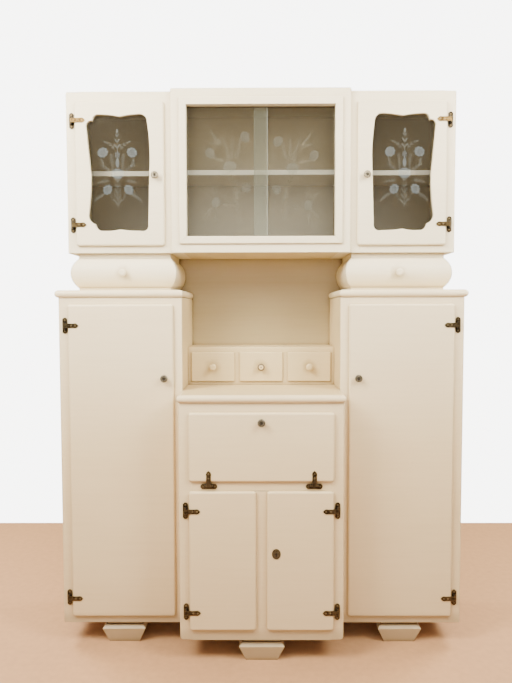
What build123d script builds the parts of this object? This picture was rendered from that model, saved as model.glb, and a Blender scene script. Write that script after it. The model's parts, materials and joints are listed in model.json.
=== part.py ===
from build123d import *
from math import atan2, cos, degrees, pi, radians, sin, sqrt
import os

# Painted kitchen buffet of the 1940s: two tall cupboards, a centre base with a drop
# flap and two doors, an open niche with small drawers, bulged drawers above the tall
# cupboards, and a glazed upper cabinet. All lengths are millimetres. X runs across
# the front, Y from the front to the wall, Z up. The origin lies on the floor, in the
# middle of the overall width and depth.

# Overall forms, half widths from the middle and depths from the wall
tall_half = 720
niche_half = 281
tall_depth = 334
centre_depth = 451
upper_step_in = 16
upper_centre_out = 44
upper_side_depth = 263
upper_centre_depth = 276

# Levels above the floor
base_z = 80
worktop_z = 929
tall_top_z = 1287
upper_z = 1424
upper_side_top_z = 2002
upper_centre_rise = 8

# Boards
board = 18
back_board = 8
nose_board = 27
nose_round = 13
tall_nose_out = 10
tall_nose_in = 4
worktop_nose_out = 12
worktop_nose_side = 4
post_ease = 3
rail_ease = 2
base_corner_round = 12
top_corner_round = 6
edge_tolerance = 0.01

# Doors with a lip that lies on the frame and a rebate that enters the opening
lip = 12
rebate = 8
lip_overlap = 9
rebate_gap = 3
lip_edge_round = 8
lip_corner_round = 11
round_share = 0.55
ease_share = 0.2

# Frame that stays visible around each door
tall_margin_out = 35
tall_margin_in = 30
tall_margin_top = 24
tall_margin_bottom = 26
upper_margin_out = 33
upper_margin_in = 24
upper_margin_top = 36
upper_margin_bottom = 25
centre_margin_side = 34
flap_margin_top = 32
flap_height = 236
flap_rail = 33
centre_margin_bottom = 38
centre_stile_half = 18
stile_joint = 1.5

# Shelves
shelf_set_back = 40
tall_shelf_count = 3
centre_shelf_up = 260
upper_shelf_share = 0.5087
upper_shelf_set_back = 55

# Feet
foot_wide = 157
foot_top_wide = 137
foot_bottom_wide = 109
foot_deep = 84
foot_top_deep = 64
foot_bottom_deep = 60
foot_widest_z = 53
foot_top_z = 65
foot_block_inset = 6
foot_centre = 503
foot_set_back = 4
foot_set_forward = 30

# Bulged drawer units between the tall cupboards and the upper cabinet
bulge_case_from_centre = 7
bulge_case_from_side = 33
bulge_set_back = 18
bulge = 24
bulge_base = 10
bulge_neck = 19
bulge_mitre_gap = 0.5
bulge_drawer_spare = 17

# Small drawers in the niche
small_case_depth = 167
small_case_height = 145
small_front_wide = 167
small_front_gap = 17.5
small_margin_top = 18.5
small_margin_bottom = 12
small_lip = 7
small_overlap = 3
small_front_inset = 8
small_edge_round = 5
small_corner_round = 5
small_drawer_spare = 11

# Drawer boxes
drawer_side = 9
drawer_floor = 4
drawer_clear = 1
drawer_rear_drop = 12

# Glazed front of the upper cabinet
display_margin_side = 57
display_margin_bottom = 58
display_margin_top = 60
moulding_wide = 27
moulding_proud = 8
moulding_round = 4
track_height = 12
track_depth = 26
groove_clear = 0.4
groove_inset = 3
groove_bottom_deep = 6
groove_top_deep = 14
pane_thick = 4
pane_overlap = 25
pane_end_clear = 0.4

# Shaped opening of the upper doors and its pane
door_pane_thick = 3
door_pane_clear = 0.5
door_ring = 20
door_ring_lock = 34
bead = 5

# Strap hinges: an oblong plate on the frame, a strap on the door, a pin through both
pin_r = 1.5
barrel_r = 3.2
bore_clear = 0.05
bore_sides = 12
hinge_side = 12.4
leaf = 2.2
plate_long = 57
plate_wide = 17
strap_long = 52
strap_root_wide = 14
strap_wide = 17.5
knuckle_gap = 0.3
ear_long = 6
plate_corner = 5.5
knuckle_corner = 2
tall_hinge_low = 68
tall_hinge_high = 75
upper_hinge_low = 76
upper_hinge_high = 68
lower_hinge_low = 63
lower_hinge_high = 68
flap_hinge_x = 179
flap_plate_low = 5

# Locks: a keyhole knob or a plate outside, a case with a sliding bolt inside
lock_backset = 23
lock_case_edge = 20
lock_case_behind = 12
lock_case_high = 44
lock_case_wall = 2.5
bolt_high = 8
bolt_thick = 3
bolt_long = 26
bolt_clear = 0.4
lock_knob_r = 13
lock_knob_long = 18
lock_neck_r = 7.5
lock_under = 3
lock_knob_crown = 2
lock_top_r = 10.5
lock_head = 8
keyhole_r = 2.6
keyhole_slot = 2
keyhole_drop = 6.5
keyhole_deep = 8
keyhole_sides = 8
escutcheon_wide = 30
escutcheon_high = 36
escutcheon_thick = 1.6
tall_lock_share = 0.7681
upper_lock_share = 0.4855
lower_lock_share = 0.557

# Turned knobs and their facets
turned_sides = 16
wood_knob_r = 13.5
wood_knob_long = 24
wood_knob_neck_r = 6
wood_knob_foot_r = 8.5
wood_knob_foot = 9
wood_knob_head = 13
wood_knob_rim = 3
wood_knob_crown = 4
wood_knob_top_r = 8
wood_knob_sink = 1.5

# Flap stays: a slotted bar on the flap that slides on a post in the case
stay_pivot_high = 170
stay_pivot_behind = 10
stay_lead = 24
flap_opening = 90
stay_wide = 12
stay_thick = 2.5
stay_slot = 5.6
stay_post_r = 2.5
stay_side_gap = 0.5
stay_from_opening = 11
stay_end_spare = 3
stay_shoulder_r = 5
stay_head_r = 4.2
stay_head = 1.5
stay_pin_head_r = 2.4
stay_pin_head = 1
lug_foot_long = 34
lug_foot_wide = 14
lug_corner = 4
stay_corner = 3.5

# Places that follow from the sizes above
upper_centre_top_z = upper_side_top_z + upper_centre_rise
bulge_case_depth = upper_side_depth - bulge_set_back
flap_z0 = worktop_z - nose_board - flap_margin_top - flap_height
upper_side_half = tall_half - upper_step_in
upper_centre_half = niche_half + upper_centre_out
bulge_case_in = upper_centre_half + bulge_case_from_centre
bulge_case_out = upper_side_half - bulge_case_from_side
display_half = upper_centre_half - display_margin_side
display_bottom_z = upper_z + display_margin_bottom
display_top_z = upper_centre_top_z - display_margin_top
groove_wide = pane_thick + 2 * groove_clear
bulge_drawer_length = bulge_case_depth - back_board - bulge_drawer_spare
small_drawer_length = small_case_depth - back_board - small_drawer_spare
overall_depth = centre_depth + lip + lock_knob_long
wall_y = overall_depth / 2
back_y = wall_y - back_board
tall_y = wall_y - tall_depth
centre_y = wall_y - centre_depth
upper_side_y = wall_y - upper_side_depth
upper_centre_y = wall_y - upper_centre_depth
small_y = wall_y - small_case_depth
bulge_y = wall_y - bulge_case_depth
tall_ceiling = tall_top_z - nose_board
worktop_floor = worktop_z - nose_board
hinge_forward = lip - (barrel_r - leaf)
SIDES = {"left": -1, "right": 1}

os.makedirs("parts", exist_ok=True)


def save(name, solids):
    """Write one node, holding each of its solids apart."""
    apart = [solid for shape in solids for solid in shape.solids()]
    export_step(apart[0] if len(apart) == 1 else Compound(apart), f"parts/{name}.step")


def slab(x0, x1, y0, y1, z0, z1):
    """A board between two opposite corners, given in any order."""
    size = (abs(x1 - x0), abs(y1 - y0), abs(z1 - z0))
    return Pos((x0 + x1) / 2, (y0 + y1) / 2, (z0 + z1) / 2) * Box(*size)


def along(shape, axis, *limits):
    """The straight edges that run along an axis, at the given (axis, place) limits."""
    edges = shape.edges().filter_by(axis)
    for across, place in limits:
        edges = edges.filter_by_position(across, place - edge_tolerance, place + edge_tolerance)
    return edges


def eased(x0, x1, y0, y1, z0, z1, rounds=(), eases=()):
    """A board with long edges rounded, then chamfered: each entry is (axis, limits, size)."""
    shape = slab(x0, x1, y0, y1, z0, z1)
    for axis, limits, radius in rounds:
        shape = fillet(along(shape, axis, *limits), radius)
    for axis, limits, length in eases:
        shape = chamfer(along(shape, axis, *limits), length)
    return shape


def rim(panel, y):
    """The edges of a panel that lie in the plane at y."""
    return panel.edges().filter_by_position(Axis.Y, y - edge_tolerance, y + edge_tolerance)


def softened(panel, front_y, edge_r):
    """A panel whose front rim is brought round in three flats: one broad, two narrow."""
    length = edge_r * round_share
    panel = chamfer(panel.faces().sort_by(Axis.Y)[0].edges(), length)
    return chamfer(rim(panel, front_y) + rim(panel, front_y + length), edge_r * ease_share)


def round_corners(panel, corner_r):
    """A panel whose four corners, seen from the front, are brought round in three flats."""
    panel = chamfer(panel.edges().filter_by(Axis.Y), corner_r * round_share)
    return chamfer(panel.edges().filter_by(Axis.Y), corner_r * ease_share)


def lipped(x0, x1, z0, z1, front_y, lip_deep, inset, overlap, gap, edge_r, corner_r):
    """A lipped panel: soft-edged face in front of the frame, square block in its opening."""
    face = round_corners(slab(x0, x1, front_y - lip_deep, front_y, z0, z1), corner_r)
    face = softened(face, front_y - lip_deep, edge_r)
    step = overlap + gap
    block = slab(x0 + step, x1 - step, front_y, front_y + inset, z0 + step, z1 - step)
    return face + block


def turned(*points):
    """A turned piece that points to -Y, from (radius, distance) points along its outline."""
    step = 2 * pi / turned_sides

    def ring(radius, distance):
        """The corners of one ring, which circles the real turned outline from outside."""
        corner_r = radius / cos(step / 2)
        return [Vector(corner_r * cos(n * step), -distance, corner_r * sin(n * step))
                for n in range(turned_sides)]

    rings = [ring(*point) for point in points]
    faces = [Face(Wire.make_polygon(rings[0])), Face(Wire.make_polygon(rings[-1]))]
    for near, far in zip(rings, rings[1:]):
        for n in range(turned_sides):
            corners = [near[n - 1], near[n], far[n], far[n - 1]]
            faces.append(Face(Wire.make_polygon(corners)))
    return Solid(Shell(faces))


def prism(plane, points, length):
    """A straight prism along a plane's normal, from an outline of points on it."""
    with BuildSketch(plane) as outline:
        with BuildLine():
            Polyline(*points, close=True)
        make_face()
    return extrude(outline.sketch, length)


# Feet


def foot_profile(bottom, widest, top):
    """Half outline of a foot seen from one side, mirrored to a closed outline."""
    right = [(bottom / 2, 0), (widest / 2, foot_widest_z), (top / 2, foot_top_z)]
    return right + [(-x, z) for x, z in reversed(right)]


def feet():
    """Tapered blocks with a chamfered top band, each under a smaller spacer."""
    across = prism(Plane.XZ, foot_profile(foot_bottom_wide, foot_wide, foot_top_wide), foot_deep)
    deepwise = prism(Plane.YZ, foot_profile(foot_bottom_deep, foot_deep, foot_top_deep), foot_wide)
    block = Pos(0, foot_deep / 2, 0) * across & Pos(-foot_wide / 2, 0, 0) * deepwise
    half_wide = foot_top_wide / 2 - foot_block_inset
    half_deep = foot_top_deep / 2 - foot_block_inset
    spacer = slab(-half_wide, half_wide, -half_deep, half_deep, foot_top_z, base_z)
    front_row = [(-foot_centre, tall_y), (0, centre_y), (foot_centre, tall_y)]
    places = [(x, y + foot_set_back + foot_deep / 2) for x, y in front_row]
    places += [(x, wall_y - foot_set_forward - foot_deep / 2) for x, y in front_row]
    return [Pos(x, y, 0) * piece for x, y in places for piece in (block, spacer)]


# Tall cupboards


def nosed_board(x0, x1, y0, y1, z1, nose_left, nose_right):
    """A board with a half-round nose on its front edge and on the named ends."""
    z0 = z1 - nose_board
    across = slab(x0, x1, y0, y1, z0, z1)
    across = fillet(along(across, Axis.X, (Axis.Y, y0)), nose_round)
    deep = slab(x0, x1, y0, y1, z0, z1)
    for nosed, x in ((nose_left, x0), (nose_right, x1)):
        if nosed:
            deep = fillet(along(deep, Axis.Y, (Axis.X, x)), nose_round)
    return across & deep


def tall_carcase():
    """Sides, bottoms, tops, shelves and backs of both tall cupboards, by node."""
    nodes = {"tall_sides": [], "tall_bottoms": [], "tall_tops": [], "tall_shelves": [],
             "lower_backs": []}
    frame_y = tall_y + board
    inner_x = niche_half + board
    outer_x = tall_half - board
    for s in SIDES.values():
        for x0, x1 in ((niche_half, inner_x), (outer_x, tall_half)):
            nodes["tall_sides"].append(slab(s * x0, s * x1, frame_y, back_y, base_z, tall_ceiling))
        floor = slab(s * inner_x, s * outer_x, frame_y, back_y, base_z, base_z + board)
        nodes["tall_bottoms"].append(floor)
        edges = sorted((s * (niche_half - tall_nose_in), s * (tall_half + tall_nose_out)))
        top = nosed_board(*edges, tall_y - tall_nose_out, back_y, tall_top_z, True, True)
        nodes["tall_tops"].append(top)
        pitch = (tall_ceiling - base_z - board) / (tall_shelf_count + 1)
        for number in range(tall_shelf_count):
            z = base_z + board + pitch * (number + 1)
            shelf = slab(s * inner_x, s * outer_x, frame_y + shelf_set_back, back_y, z, z + board)
            nodes["tall_shelves"].append(shelf)
        back = slab(s * niche_half, s * tall_half, back_y, wall_y, base_z, tall_top_z)
        nodes["lower_backs"].append(back)
    rear = slab(-niche_half, niche_half, back_y, wall_y, base_z, worktop_floor)
    nodes["lower_backs"].append(rear)
    return nodes


def face_frame(x_in, x_out, door, front_y, z0, z1, top_round):
    """Stiles and rails around one opening of a cupboard that lies at positive X."""
    open_in, open_out = door[0] + lip_overlap, door[1] - lip_overlap
    open_low, open_high = door[2] + lip_overlap, door[3] - lip_overlap
    rear_y = front_y + board
    post = (Axis.Z, ((Axis.Y, front_y), (Axis.X, x_out)), post_ease)
    corner = (Axis.Y, ((Axis.Z, z1), (Axis.X, x_out)), top_round)
    rounds = (corner,) if top_round else ()
    return [
        slab(x_in, open_in, front_y, rear_y, z0, z1),
        eased(open_out, x_out, front_y, rear_y, z0, z1, rounds, (post,)),
        slab(open_in, open_out, front_y, rear_y, z0, open_low),
        slab(open_in, open_out, front_y, rear_y, open_high, z1),
    ]


def mirrored_pair(solids):
    """The solids of the right side and their mirror images on the left."""
    return solids + [mirror(solid, about=Plane.YZ) for solid in solids]


# Outlines of the doors: inner X, outer X, lowest Z, highest Z, on the positive side
tall_door = (niche_half + tall_margin_in, tall_half - tall_margin_out,
             base_z + tall_margin_bottom, tall_ceiling - tall_margin_top)
upper_door = (upper_centre_half + upper_margin_in, upper_side_half - upper_margin_out,
              upper_z + upper_margin_bottom, upper_side_top_z - upper_margin_top)
lower_door = (centre_stile_half, niche_half - centre_margin_side,
              base_z + centre_margin_bottom, flap_z0 - flap_rail)
flap_half = niche_half - centre_margin_side
flap_door = (-flap_half, flap_half, flap_z0, flap_z0 + flap_height)


# Centre base


def centre_carcase():
    """Sides, bottom, flap floor, shelf, front frame and the middle stile let into it, by node."""
    frame_y = centre_y + board
    inner = niche_half - board
    open_side = lower_door[1] - lip_overlap
    rail_low = lower_door[3] - lip_overlap
    rail_high = flap_door[2] + lip_overlap
    sides = []
    stiles = []
    for s in SIDES.values():
        corner = (Axis.Y, ((Axis.Z, base_z), (Axis.X, s * niche_half)), base_corner_round)
        post = (Axis.Z, ((Axis.Y, centre_y), (Axis.X, s * niche_half)), post_ease)
        sides.append(eased(s * inner, s * niche_half, frame_y, back_y, base_z, worktop_floor,
                           (corner,)))
        stiles.append(eased(s * open_side, s * niche_half, centre_y, frame_y, base_z,
                            worktop_floor, (corner,), (post,)))
    rails = [
        slab(-open_side, open_side, centre_y, frame_y, base_z, lower_door[2] + lip_overlap),
        slab(-open_side, open_side, centre_y, frame_y, rail_low, rail_high),
        slab(-open_side, open_side, centre_y, frame_y, flap_door[3] - lip_overlap, worktop_floor),
    ]
    middle = centre_stile_half + lip_overlap
    stile = slab(-middle, middle, centre_y, frame_y, lower_door[2] + lip_overlap,
                 lower_door[3] - stile_joint)
    rails[1] = rails[1] - slab(-middle, middle, centre_y, frame_y, rail_low, lower_door[3])
    floor_z = rail_high
    shelf_y = frame_y + shelf_set_back
    shelf_z = base_z + centre_shelf_up
    return {
        "centre_sides": sides,
        "centre_front_frame": stiles + rails,
        "centre_stile": [stile],
        "centre_bottom": [slab(-inner, inner, frame_y, back_y, base_z, base_z + board)],
        "flap_floor": [slab(-inner, inner, frame_y, back_y, floor_z - board, floor_z)],
        "centre_shelf": [slab(-inner, inner, shelf_y, back_y, shelf_z, shelf_z + board)],
    }


def worktop():
    """The nosed top of the centre base, narrower where it runs back between the tall cupboards."""
    edge = niche_half + worktop_nose_side
    front = nosed_board(-edge, edge, centre_y - worktop_nose_out, tall_y, worktop_z, True, True)
    rear = slab(-niche_half, niche_half, tall_y, back_y, worktop_floor, worktop_z)
    return front + rear


def niche_back():
    """The panel behind the niche, wider above the tall cupboards."""
    low = slab(-niche_half, niche_half, back_y, wall_y, worktop_floor, tall_top_z)
    high = slab(-bulge_case_in, bulge_case_in, back_y, wall_y, tall_top_z, upper_z)
    return low + high


# Small drawers in the niche

small_top_z = worktop_z + small_case_height
small_pitch = small_front_wide + small_front_gap
small_side = niche_half - small_pitch - small_front_wide / 2 + small_overlap
small_divider = small_front_gap + 2 * small_overlap
small_front_z0 = worktop_z + small_margin_bottom
small_front_z1 = small_top_z - small_margin_top


def small_drawer_case():
    """Top, floor, ends, dividers and back around the three drawers."""
    floor_top = small_front_z0 + small_overlap
    ceiling = small_front_z1 - small_overlap
    inner = niche_half - small_side
    rear = back_y
    solids = [
        eased(-niche_half, niche_half, small_y, rear, ceiling, small_top_z,
              eases=[(Axis.X, ((Axis.Y, small_y), (Axis.Z, small_top_z)), rail_ease)]),
        slab(-inner, inner, small_y, rear, worktop_z, floor_top),
    ]
    for s in SIDES.values():
        solids.append(slab(s * inner, s * niche_half, small_y, rear, worktop_z, ceiling))
        middle = s * small_pitch / 2
        half = small_divider / 2
        solids.append(slab(middle - half, middle + half, small_y, rear, floor_top, ceiling))
    return solids


def wood_knob():
    """A turned mushroom knob on the plane y = 0, pointing to -Y."""
    under = wood_knob_long - wood_knob_head
    rim_at = wood_knob_long - wood_knob_crown - wood_knob_rim
    return turned((wood_knob_foot_r, 0), (wood_knob_neck_r, wood_knob_foot),
                  (wood_knob_neck_r, under), (wood_knob_r, rim_at),
                  (wood_knob_r, rim_at + wood_knob_rim), (wood_knob_top_r, wood_knob_long))


def drawer_box(x0, x1, front_y, length, z0, z1):
    """Two sides, a low rear and a floor behind a drawer front."""
    rear_y = front_y + length
    floor_top = z0 + drawer_floor
    return [
        slab(x0, x0 + drawer_side, front_y, rear_y, z0, z1),
        slab(x1 - drawer_side, x1, front_y, rear_y, z0, z1),
        slab(x0 + drawer_side, x1 - drawer_side, rear_y - drawer_side, rear_y,
             floor_top, z1 - drawer_rear_drop),
        slab(x0 + drawer_side, x1 - drawer_side, front_y, rear_y, z0, floor_top),
    ]


def small_drawer(place):
    """One small drawer: lipped front, box and knob; place counts from the middle."""
    x = place * small_pitch
    half = small_front_wide / 2
    front = lipped(x - half, x + half, small_front_z0, small_front_z1, small_y, small_lip,
                   small_front_inset, small_overlap, drawer_clear, small_edge_round,
                   small_corner_round)
    step = small_overlap + drawer_clear
    box_y = small_y + small_front_inset
    length = small_drawer_length - small_front_inset
    box = drawer_box(x - half + step, x + half - step, box_y, length,
                     small_front_z0 + step, small_front_z1 - step)
    knob = Pos(x, small_y - small_lip, (small_front_z0 + small_front_z1) / 2) * wood_knob()
    return [front] + box + [knob]


# Bulged drawer units

bulge_low = tall_top_z + bulge_base
bulge_high = upper_z - bulge_neck


def bulge_body():
    """The whole bulged block of the right unit: one profile around front and sides, mitred."""
    middle = (bulge_low + bulge_high) / 2

    def arc_face(x, y, dx, dy):
        """A half-lens that swells from a vertical line towards (dx, dy)."""
        with BuildSketch(Plane((x, y, 0), x_dir=(dx, dy, 0), z_dir=(dy, -dx, 0))) as lens:
            with BuildLine():
                ThreePointArc((0, bulge_low), (bulge, middle), (0, bulge_high))
                Line((0, bulge_high), (0, bulge_low))
            make_face()
        return lens.sketch

    wide = bulge_case_out - bulge_case_in + 2 * bulge
    deep = back_y - bulge_y + bulge
    centre_x = (bulge_case_in + bulge_case_out) / 2
    front = extrude(arc_face(centre_x - wide / 2, bulge_y, 0, -1), wide, dir=(1, 0, 0))
    core = slab(bulge_case_in, bulge_case_out, bulge_y, back_y, bulge_low, bulge_high)
    long = extrude(arc_face(bulge_case_in, back_y, -1, 0), deep, dir=(0, -1, 0))
    other = extrude(arc_face(bulge_case_out, back_y, 1, 0), deep, dir=(0, -1, 0))
    ahead = slab(bulge_case_in, bulge_case_out, bulge_y - bulge, bulge_y, bulge_low, bulge_high)
    across = front + slab(centre_x - wide / 2, centre_x + wide / 2, bulge_y, back_y,
                          bulge_low, bulge_high)
    deepwise = long + other + core + ahead
    return across & deepwise


def wedge(points):
    """An upright prism over the bulge's height, from points in X and Y."""
    return prism(Plane.XY.offset(bulge_low), points, bulge_high - bulge_low)


def bulge_case(body):
    """Neck, base, sides, back and side mouldings of the right unit."""
    x0, x1 = bulge_case_in, bulge_case_out
    reach = 2 * bulge
    solids = [
        slab(x0, x1, bulge_y, back_y, bulge_high, upper_z),
        slab(x0, x1, bulge_y, back_y, tall_top_z, bulge_low),
        slab(x0, x0 + board, bulge_y, back_y, bulge_low, bulge_high),
        slab(x1 - board, x1, bulge_y, back_y, bulge_low, bulge_high),
        slab(x0, x1, back_y, wall_y, tall_top_z, upper_z),
    ]
    inner = [(x0, bulge_y), (x0 - reach, bulge_y - reach), (x0 - reach, back_y), (x0, back_y)]
    outer = [(x1, bulge_y), (x1 + reach, bulge_y - reach), (x1 + reach, back_y), (x1, back_y)]
    return solids + [body & wedge(inner), body & wedge(outer)]


def bulge_drawer(body):
    """The right bulged drawer: mitred front, box and knob."""
    x0, x1 = bulge_case_in + bulge_mitre_gap, bulge_case_out - bulge_mitre_gap
    reach = 2 * bulge
    front = body & wedge([(x0, bulge_y), (x0 - reach, bulge_y - reach),
                          (x1 + reach, bulge_y - reach), (x1, bulge_y)])
    inset = board + drawer_clear
    box = drawer_box(bulge_case_in + inset, bulge_case_out - inset, bulge_y,
                     bulge_drawer_length, bulge_low + drawer_clear, bulge_high - drawer_clear)
    centre_x = (bulge_case_in + bulge_case_out) / 2
    knob_y = bulge_y - bulge + wood_knob_sink
    knob = Pos(centre_x, knob_y, (bulge_low + bulge_high) / 2) * wood_knob()
    return [front] + box + [knob - front]


# Upper cabinet


def upper_carcase():
    """Sides, tops, bottoms, shelves and backs of the upper cabinet, by node."""
    side_y = upper_side_y + board
    centre_front = upper_centre_y + board
    inner = upper_centre_half - board
    outer = upper_side_half - board
    shelf_z = upper_z + upper_shelf_share * (upper_side_top_z - upper_z)
    nodes = {"upper_sides": [], "upper_bottoms": [], "upper_tops": [], "upper_shelves": [],
             "upper_backs": []}
    for s in SIDES.values():
        corner = (Axis.Y, ((Axis.Z, upper_side_top_z), (Axis.X, s * upper_side_half)),
                  top_corner_round)
        nodes["upper_sides"] += [
            slab(s * inner, s * upper_centre_half, centre_front, back_y, upper_z,
                 upper_centre_top_z),
            eased(s * outer, s * upper_side_half, side_y, back_y, upper_z, upper_side_top_z,
                  (corner,)),
        ]
        ends = (s * upper_centre_half, s * outer)
        nodes["upper_bottoms"].append(slab(*ends, side_y, back_y, upper_z, upper_z + board))
        nodes["upper_tops"].append(slab(*ends, side_y, back_y, upper_side_top_z - board,
                                        upper_side_top_z))
        nodes["upper_shelves"].append(slab(*ends, side_y + upper_shelf_set_back, back_y,
                                           shelf_z, shelf_z + board))
        nodes["upper_backs"].append(slab(s * upper_centre_half, s * upper_side_half, back_y,
                                         wall_y, upper_z, upper_side_top_z))
    nodes["upper_bottoms"].append(slab(-inner, inner, centre_front, back_y, upper_z,
                                       upper_z + board))
    nodes["upper_tops"].append(slab(-inner, inner, centre_front, back_y,
                                    upper_centre_top_z - board, upper_centre_top_z))
    nodes["upper_shelves"].append(slab(-inner, inner, centre_front + upper_shelf_set_back,
                                       back_y, shelf_z, shelf_z + board))
    nodes["upper_backs"].append(slab(-upper_centre_half, upper_centre_half, back_y, wall_y,
                                     upper_z, upper_centre_top_z))
    return nodes


def display_front():
    """Stiles and rails around the sliding glass."""
    y0, y1 = upper_centre_y, upper_centre_y + board
    half = upper_centre_half
    top_edge = (Axis.X, ((Axis.Y, y0), (Axis.Z, upper_centre_top_z)), rail_ease)
    solids = [
        slab(-display_half, display_half, y0, y1, upper_z, display_bottom_z),
        eased(-display_half, display_half, y0, y1, display_top_z, upper_centre_top_z,
              eases=(top_edge,)),
    ]
    for s in SIDES.values():
        post = (Axis.Z, ((Axis.Y, y0), (Axis.X, s * half)), post_ease)
        corner = (Axis.Y, ((Axis.Z, upper_centre_top_z), (Axis.X, s * half)), top_corner_round)
        solids.append(eased(s * display_half, s * half, y0, y1, upper_z, upper_centre_top_z,
                            (corner,), (post,)))
    return solids


def display_moulding():
    """Four mitred strips around the glass, proud of the front and rounded outside."""
    x, z0, z1 = display_half, display_bottom_z, display_top_z
    wide, y1 = moulding_wide, upper_centre_y
    y0 = y1 - moulding_proud
    ring = slab(-x - wide, x + wide, y0, y1, z0 - wide, z1 + wide)
    ring = softened(ring, y0, moulding_round)
    ring = ring - slab(-x, x, y0, y1, z0, z1)
    middle_z = (z0 + z1) / 2
    reach = (z1 - z0) / 2 + wide
    strips = []
    for s in SIDES.values():
        corner_x, far_x = s * (x - reach + wide), s * (x + wide)
        side_cut = [(corner_x, middle_z), (far_x, middle_z + reach), (far_x, middle_z - reach)]
        strips.append(ring & upright_prism(side_cut, y0, y1))
    rails = ring
    for strip in strips:
        rails = rails - strip
    return strips + list(rails.solids())


def upright_prism(points, y0, y1):
    """A prism through the thickness y0 to y1, from points in X and Z."""
    return prism(Plane((0, y1, 0), x_dir=(1, 0, 0), z_dir=(0, -1, 0)), points, y1 - y0)


track_y = upper_centre_y + board
groove_front = track_y + groove_inset
groove_rear = groove_front + groove_wide + groove_inset


def glass_tracks():
    """The lower and upper runners, each with two grooves for the panes."""
    inner = upper_centre_half - board
    solids = []
    for z0, z1, deep in ((display_bottom_z - track_height, display_bottom_z, groove_bottom_deep),
                         (display_top_z, display_top_z + track_height + groove_bottom_deep,
                          -groove_top_deep)):
        runner = slab(-inner, inner, track_y, track_y + track_depth, z0, z1)
        open_z = z1 if deep > 0 else z0
        for y in (groove_front, groove_rear):
            runner = runner - slab(-inner, inner, y, y + groove_wide, open_z - deep, open_z)
        solids.append(runner)
    return solids


def sliding_pane(s):
    """One pane of the display, long enough to pass the middle by the overlap."""
    inner = upper_centre_half - board
    y0 = (groove_front if s < 0 else groove_rear) + (groove_wide - pane_thick) / 2
    z0 = display_bottom_z - groove_bottom_deep
    z1 = display_top_z + groove_bottom_deep
    return slab(-s * pane_overlap, s * (inner - pane_end_clear), y0, y0 + pane_thick, z0, z1)


# Shaped opening, in shares of the door's half width and half height from its middle:
# the curve goes over the top from the lock side to the hinge side and back below
glass_side_share = (-0.668, 0.0)
glass_shares = [
    ((-0.645, 0.645), (-0.628, 0.725)),
    ((-0.560, 0.800), (-0.425, 0.818)),
    ((-0.230, 0.808), (0.000, 0.784)),
    ((0.230, 0.808), (0.444, 0.815)),
    ((0.560, 0.790), (0.590, 0.728)),
    ((0.680, 0.722), (0.733, 0.640)),
    ((0.690, 0.330), (0.637, -0.030)),
    ((0.660, -0.330), (0.702, -0.563)),
    ((0.650, -0.660), (0.550, -0.697)),
    ((0.500, -0.765), (0.373, -0.791)),
    ((0.190, -0.790), (0.000, -0.770)),
    ((-0.230, -0.788), (-0.466, -0.791)),
    ((-0.600, -0.775), (-0.637, -0.700)),
    ((-0.652, -0.400), (-0.668, 0.000)),
]


def shaped_opening(door, y0, y1):
    """The wavy glass opening of the right upper door, cut through from y0 to y1."""
    middle_x, half_x = (door[0] + door[1]) / 2, (door[1] - door[0]) / 2
    middle_z, half_z = (door[2] + door[3]) / 2, (door[3] - door[2]) / 2

    def place(share):
        """A point of the outline from its shares."""
        return (middle_x + share[0] * half_x, middle_z + share[1] * half_z)

    with BuildSketch(Plane((0, y1, 0), x_dir=(1, 0, 0), z_dir=(0, -1, 0))) as outline:
        with BuildLine():
            start = glass_side_share
            for through, end in glass_shares:
                ThreePointArc(place(start), place(through), place(end))
                start = end
        make_face()
    return extrude(outline.sketch, y1 - y0)


def upper_door_pieces():
    """The right upper door with its glazing beads, and the pane behind its opening."""
    x0, x1, z0, z1 = upper_door
    y = upper_side_y
    panel = lipped(x0, x1, z0, z1, y, lip, rebate, lip_overlap, rebate_gap, lip_edge_round,
                   lip_corner_round)
    step = lip_overlap + rebate_gap
    edge = step + door_ring
    pocket = (x0 + step + door_ring_lock, x1 - edge, z0 + edge, z1 - edge)
    panel = panel - slab(pocket[0], pocket[1], y, y + rebate, pocket[2], pocket[3])
    panel = panel - shaped_opening(upper_door, y - lip, y)
    c = door_pane_clear
    pane = slab(pocket[0] + c, pocket[1] - c, y, y + door_pane_thick, pocket[2] + c,
                pocket[3] - c)
    bead_y = (y + door_pane_thick, y + rebate)
    beads = []
    for z in (pocket[2], pocket[3] - bead):
        beads.append(slab(pocket[0], pocket[1], *bead_y, z, z + bead))
    for x in (pocket[0], pocket[1] - bead):
        beads.append(slab(x, x + bead, *bead_y, pocket[2] + bead, pocket[3] - bead))
    return [panel] + beads, [pane]


# Hinges, made with the pin along Z at the origin, the door towards +X and its front to -Y


def knuckle(length, depth):
    """A barrel around the axis with softened front corners, reaching back to the depth."""
    bar = slab(-barrel_r, barrel_r, -barrel_r, depth, -length / 2, length / 2)
    return chamfer(along(bar, Axis.Z, (Axis.Y, -barrel_r)), knuckle_corner)


def hinge_plate(away=0):
    """The oblong frame plate, its middle away from the strap, with two lugs and the fast pin."""
    y1 = hinge_forward
    half = plate_wide / 2
    base = slab(-half - away, half - away, y1 - leaf, y1, -plate_long / 2, plate_long / 2)
    base = chamfer(base.edges().filter_by(Axis.Y), plate_corner)
    near = strap_root_wide / 2 + knuckle_gap
    lug = knuckle(ear_long, y1 - leaf)
    raised = near + ear_long / 2
    pin = Cylinder(pin_r, 2 * near)
    return base + Pos(0, 0, raised) * lug + Pos(0, 0, -raised) * lug + pin


# Strap outline in shares of its length and half width: root, waist, swell, point
strap_shares = [(0.0, 0.80), (0.30, 0.91), (0.62, 0.87), (0.77, 1.0), (0.88, 0.78), (1.0, 0.0)]


def bore(length):
    """The hole for a pin along Z, cut as flats around the round hole."""
    return extrude(RegularPolygon(pin_r + bore_clear, bore_sides, major_radius=False),
                   length / 2, both=True)


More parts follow.
